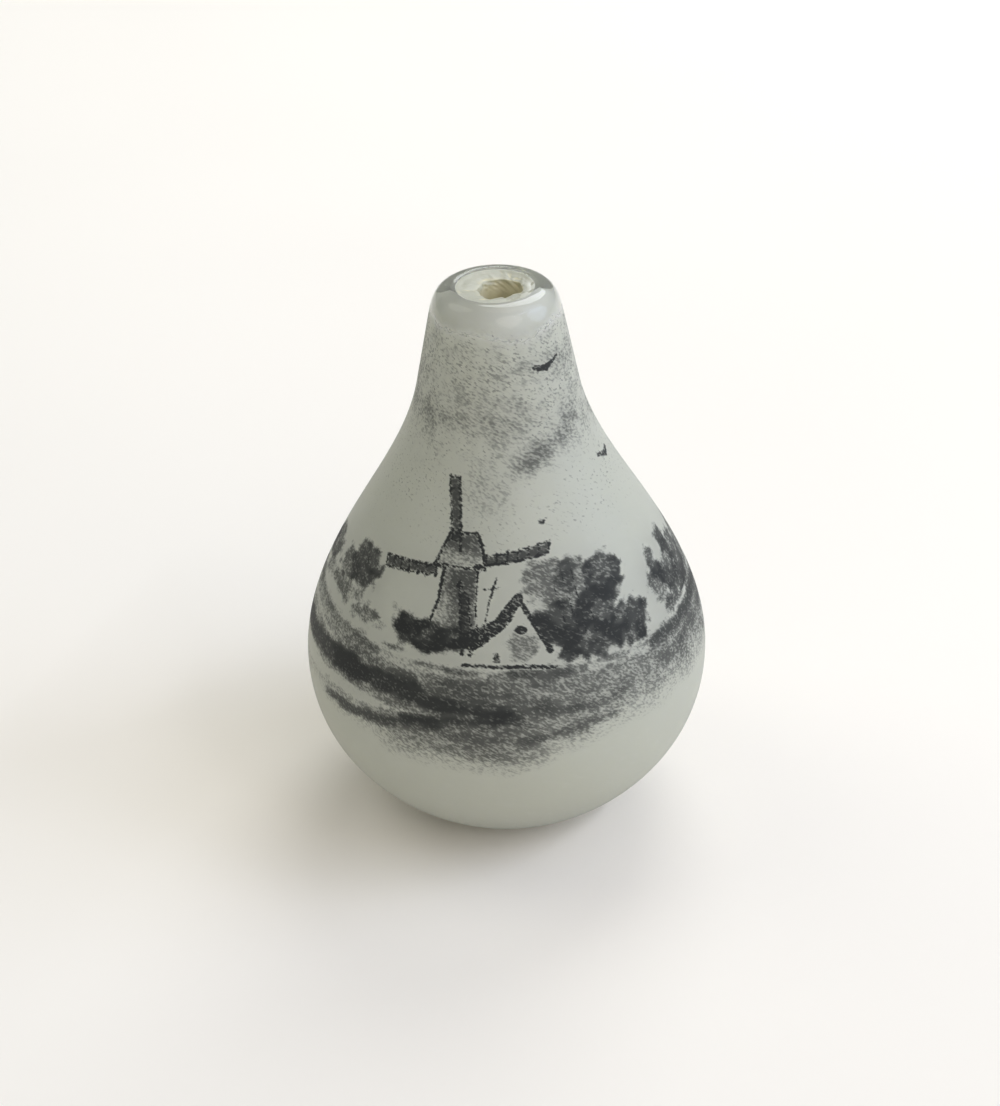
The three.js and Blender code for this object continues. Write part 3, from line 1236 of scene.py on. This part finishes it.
@dataclass
class ClearCasing:
    """The outer glass: a shell between the painted skin and the fused lining."""

    section: Section
    glass: CasingGlass = CasingGlass()
    sink: float = 0.08
    paint_body: float = 0.7
    melted_width: float = 1.7
    front_angle: float = 78.0
    front_step: float = 0.185
    back_step: float = 0.40
    painted_arc: Point = (14.0, 35.5)
    row_steps: tuple[float, float, float] = (0.55, 0.17, 0.27)
    lip_rows: int = 15
    inner_rows: int = 34

    def azimuths(self) -> Field:
        """Gives the columns of the mesh, closer together on the painted front.

        Returns:
            Angles in radians.
        """
        front = math.radians(self.front_angle)
        front_count = round(2 * front * self.section.belly_radius / self.front_step)
        back_count = round((2 * math.pi - 2 * front) * self.section.belly_radius / self.back_step)
        near = np.linspace(-front, front, front_count, endpoint=False)
        far = np.linspace(front, 2 * math.pi - front, back_count, endpoint=False)
        both = np.concatenate([near, far])
        return np.where(both > math.pi, both - 2 * math.pi, both)

    def arc_marks(self, length: float) -> Field:
        """Gives the rows of the outside, closer together where the painting is.

        Args:
            length: The whole length of the outside.

        Returns:
            Distances from the foot ring.
        """
        ends = (0.0, *self.painted_arc, length)
        zones = zip(ends, ends[1:], self.row_steps)
        marks = [np.arange(low, high - 0.4 * step, step) for low, high, step in zones]
        return np.concatenate([*marks, [length]])

    def underside(self) -> Field:
        """Runs from the axis over the hollow under the foot, and out along the foot ring.

        Returns:
            Points of radius and height.
        """
        section = self.section
        ring = section.foot_radius - section.foot_ring_width
        shares = ((0.0, 1.0), (0.25, 0.97), (0.5, 0.8), (0.78, 0.4), (1.0, 0.0))
        pontil = [(ring * across, section.pontil_depth * deep) for across, deep in shares]
        return np.array([*pontil, (section.foot_radius - 0.15, 0.0)])

    def polish(self, places: Field) -> Field:
        """Gives how smoothly each point is melted. The edge of the melted band is ragged, and lower behind.

        Args:
            places: Points in millimetres, in the last axis.

        Returns:
            Values from 0 for matted to 1 for melted.
        """
        depth = self.section.height - places[..., 2]
        side = np.arctan2(places[..., 0], -places[..., 1])
        ragged = 0.35 * np.sin(2 * side + 1.0) + 0.2 * np.sin(5 * side)
        ragged += 0.7 * ease(-np.cos(side), -0.2, 0.8)
        return ease(depth, self.melted_width + 1.3 + ragged, self.melted_width - 0.9 + 0.4 * ragged)

    def build(self) -> bpy.types.Object:
        """Makes the casing, paints it and dresses it.

        Returns:
            The piece.
        """
        section = self.section
        outside = section.outside()
        length = arc_of(outside)[-1]
        marks = self.arc_marks(length)
        lip_line = section.lip_round()
        lip_marks = np.linspace(0.0, arc_of(lip_line)[-1], self.lip_rows + 1)[1:]
        inner_line = section.boundary(self.sink)
        inner_marks = np.linspace(0.0, arc_of(inner_line)[-1], self.inner_rows)
        underside = self.underside()
        line = np.vstack([
            underside, spaced(outside, marks), spaced(lip_line, lip_marks), spaced(inner_line, inner_marks),
        ])
        turning = Turning("matted_casing", line, self.azimuths())
        places = turning.grid()
        arc = np.concatenate([np.full(len(underside) - 1, -1.0), marks, length + lip_marks])
        outer = (np.arange(places.shape[0]) < len(arc))[:, None]
        arc = np.concatenate([arc, np.full(places.shape[0] - len(arc), length + lip_marks[-1])])
        wall = PaintedWall(turning.azimuth, arc, turning.line[1:-1, 0], section.belly_radius)
        Landscape().paint(wall)
        polish = self.polish(places)
        bare = outer * (1 - polish)
        layers = {
            Layer.INK: np.where(outer & (polish < 0.9), wall.ink, -1.0),
            Layer.WASH: wall.wash**self.paint_body * bare,
            Layer.GRAIN: wall.grain * bare,
            Layer.POLISH: np.where(outer, polish, 1.0),
        }
        piece = turning.build(places, layers)
        piece.data.materials.append(self.glass.painted_material())
        piece.data.materials.append(self.glass.lip_material())
        melted = (layers[Layer.POLISH] > 0.999).all(axis=1)
        self.wear_lip(piece, melted, len(turning.azimuth))
        dress(piece)
        return piece

    @staticmethod
    def wear_lip(piece: bpy.types.Object, melted: Field, columns: int) -> None:
        """Gives the clear material to the inner face, and to the faces between fully melted rings.

        Args:
            piece: The casing.
            melted: For each ring, whether it is melted.
            columns: Number of faces round a ring.
        """
        slots = np.zeros(len(piece.data.polygons), np.int32)
        between = np.repeat(melted[:-1] & melted[1:], columns)
        slots[: len(between)] = between
        slots[-columns:] = 1
        piece.data.polygons.foreach_set("material_index", slots)


@dataclass
class OpalLining:
    """The white inner glass, hollow and empty, with its ragged end in the mouth."""

    section: Section
    mouth: BrokenMouth
    columns: int = 240
    skin_rows: int = 90
    break_rows: int = 23
    bore_rows: int = 36
    hollow_rows: int = 59
    bore_reach: float = 2.4
    stain_and_light_side: float = 100.0

    def broken_end(self) -> Field:
        """Runs over the break, from the outer edge of the lining to the edge of the bore.

        Returns:
            Points of radius and height between the two edges.
        """
        start, end = self.section.lining, self.section.bore_edge
        across = np.linspace(0.0, 1.0, self.break_rows + 2)[1:-1]
        fall = np.interp(across, [0.0, 0.5, 1.0], [0.0, self.section.break_hump, 1.0])
        return start + (end - start) * np.column_stack([across, fall])

    def grime_and_shade(self, places: Field, first_break: int, first_bore: int) -> Field:
        """Gives how soiled each point is, with painted shade mixed in. The break is darker at the left and
        behind as painted shade, and soiled towards the bore and in its pits.

        Args:
            places: Points in millimetres, by ring and azimuth.
            first_break: The first ring of the break.
            first_bore: The first ring of the bore, which is the last one of the break.

        Returns:
            Values from 0 for unsoiled and unshaded to 1 for soiled or in painted shade.
        """
        rings = np.arange(places.shape[0])[:, None]
        in_bore = rings >= first_bore
        on_break = (rings >= first_break) & ~in_bore
        depth = self.section.bore_edge[1] - places[..., 2]
        side = np.arctan2(places[..., 0], -places[..., 1])
        # 1 on the lit side: the break is darkened away from it as painted shade, and the bore gets more soil
        #                    towards it
        right = 0.5 + 0.5 * np.cos(side - math.radians(self.stain_and_light_side))
        behind = ease(-np.cos(side), 0.0, 0.8)
        pits = self.mouth.chips(places)
        inward = (rings - first_break) / self.break_rows
        creep = ease(inward + 0.5 * (pits - 0.5), 0.45, 1.1)
        bore = in_bore * (0.55 + 0.2 * right + 0.4 * ease(depth, 0.0, 0.7))
        # Painted shade: the break is darker at its left and behind, away from the light; the creep towards
        # the bore and the pits are soil
        ring = 0.28 - 0.16 * right + 0.16 * behind + (0.4 - 0.2 * right) * creep
        ring = on_break * (ring + 0.4 * ease(pits, 0.64, 0.8))
        return np.clip(bore + ring, 0.0, 1.0)

    def build(self) -> bpy.types.Object:
        """Makes the lining, with its face to the casing outside and the hollow inside.

        Returns:
            The piece.
        """
        skin = self.section.boundary(0.0)[::-1]
        skin = spaced(skin, np.linspace(0.0, arc_of(skin)[-1], self.skin_rows))
        hollow = self.section.hollow()
        bore_marks = np.linspace(0.0, self.bore_reach, self.bore_rows)
        lower_marks = np.linspace(self.bore_reach, arc_of(hollow)[-1], self.hollow_rows + 1)[1:]
        hollow = spaced(hollow, np.concatenate([bore_marks, lower_marks]))
        azimuth = np.linspace(-math.pi, math.pi, self.columns, endpoint=False)
        turning = Turning("opal_lining", np.vstack([skin, self.broken_end(), hollow]), azimuth)
        places = turning.grid()
        first_break = self.skin_rows - 1
        grime_and_shade = self.grime_and_shade(places, first_break, first_break + self.break_rows - 1)
        piece = turning.build(self.mouth.shift(places), {Layer.GRIME_AND_SHADE: grime_and_shade})
        piece.data.materials.append(OpalGlass().material())
        dress(piece)
        return piece


def dress(piece: bpy.types.Object) -> None:
    """Makes a piece stand for the vase and move with it.

    Args:
        piece: The piece.
    """
    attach(piece, BODY)
    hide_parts(NODE)
    log.info("%s: %d faces", piece.name, len(piece.data.polygons))


# The studio

@dataclass(frozen=True)
class Softbox:
    """A round studio light, or an oblong one if it has a length. It points at a place over the floor."""

    name: str
    azimuth: float
    elevation: float
    size: float
    watts: Colour
    distance: float = 0.8
    target: tuple[float, float, float] = (0.0, 0.0, 0.02)
    length: Optional[float] = None

    def build(self) -> None:
        """Hangs the light. Its azimuth is counted from +X towards +Y, so that 90 is behind the vase."""
        around, above = math.radians(self.azimuth), math.radians(self.elevation)
        level = math.cos(above)
        away = Vector((level * math.cos(around), level * math.sin(around), math.sin(above)))
        lamp = bpy.data.lights.new(self.name, "AREA")
        lamp.shape = "DISK" if self.length is None else "RECTANGLE"
        lamp.size = self.size
        if self.length is not None:
            lamp.size_y = self.length
        lamp.energy = max(self.watts)
        lamp.color = [watts / max(self.watts) for watts in self.watts]
        hung = bpy.data.objects.new(self.name, lamp)
        hung.location = away * self.distance
        hung.rotation_euler = (Vector(self.target) - hung.location).to_track_quat("-Z", "Y").to_euler()
        bpy.context.scene.collection.objects.link(hung)


@dataclass(frozen=True)
class Studio:
    """The plain floor, the soft lights and the world round them."""

    floor_half: float = 1.4
    world: Colour = (0.300, 0.306, 0.296)
    lights: tuple[Softbox, ...] = (
        Softbox("key", 2.0, 44.0, 0.5, (0.5, 0.56, 0.76)),
        Softbox("low key", -6.0, 25.0, 0.6, (1.3, 1.5, 2.0)),
        Softbox("strip", -25.0, 50.0, 0.5, (1.1, 1.15, 1.3), length=0.009),
        Softbox("front fill", 296.0, 35.0, 0.6, (1.62, 1.52, 1.5)),
        Softbox("top", 40.0, 75.0, 0.6, (0.5, 0.46, 0.4)),
        Softbox("back", 72.0, 46.0, 0.3, (0.8, 0.82, 0.84), 0.5, (0.02, 0.24, 0.0)),
        Softbox("left", 160.0, 52.0, 0.5, (0.78, 0.79, 0.73)),
    )

    def build(self) -> None:
        """Builds the floor, the lights and the world."""
        half = self.floor_half
        mesh = bpy.data.meshes.new("floor")
        corners = [(-half, -half, 0), (half, -half, 0), (half, half, 0), (-half, half, 0)]
        mesh.from_pydata(corners, [], [(0, 1, 2, 3)])
        floor = bpy.data.objects.new("floor", mesh)
        bpy.context.scene.collection.objects.link(floor)
        mesh.materials.append(TableTop().material())
        for light in self.lights:
            light.build()
        world = bpy.data.worlds.new("studio")
        world.use_nodes = True
        background = world.node_tree.nodes["Background"]
        background.inputs["Color"].default_value = (*self.world, 1.0)
        bpy.context.scene.world = world


@dataclass(frozen=True)
class PhotoCamera:
    """The camera of the photograph: it looks down on the vase, a little rolled."""

    frame_width: int = 1000
    frame_height: int = 1106
    focal_pixels: float = 2455.0
    middle_pixel: Point = (503.4, 544.1)
    distance: float = 193.5
    elevation: float = 31.4
    roll: float = 1.87
    film: float = 36.0

    def build(self, middle: Vector) -> None:
        """Sets the camera up.

        Args:
            middle: The middle of the vase in metres, which shows at middle_pixel.
        """
        camera = bpy.data.cameras.new("camera")
        camera.sensor_width = self.film
        camera.lens = self.focal_pixels / self.frame_height * self.film
        camera.clip_start = 0.01
        camera.dof.use_dof = False
        tilt = math.radians(self.elevation)
        right = Vector((1.0, 0.0, 0.0))
        up = Vector((0.0, math.sin(tilt), math.cos(tilt)))
        away = Vector((0.0, -math.cos(tilt), math.sin(tilt)))
        level = Matrix((right, up, away)).transposed()
        sideways = (self.middle_pixel[0] - self.frame_width / 2) / self.focal_pixels
        upward = (self.frame_height / 2 - self.middle_pixel[1]) / self.focal_pixels
        aim = Vector((0, 0, -1)).rotation_difference(Vector((sideways, upward, -1))).to_matrix()
        roll = Matrix.Rotation(math.radians(self.roll), 3, "Z")
        turned = level @ (aim @ roll).transposed()
        mount = bpy.data.objects.new("camera", camera)
        mount.matrix_world = Matrix.Translation(middle + away * self.distance * MM) @ turned.to_4x4()
        bpy.context.scene.collection.objects.link(mount)
        bpy.context.scene.camera = mount


def main() -> None:
    """Builds the vase, the studio and the camera, sized and aimed from the box of the vase's part."""
    logging.basicConfig(level=logging.INFO, format="%(name)s: %(message)s")
    low, high = (Vector(corner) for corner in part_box(NODE))
    section = Section(height=high.z / MM)
    ClearCasing(section).build()
    OpalLining(section, BrokenMouth(section)).build()
    Studio().build()
    PhotoCamera().build((low + high) / 2)
    bpy.context.scene.view_settings.view_transform = "Standard"


if __name__ == "__main__":
    main()
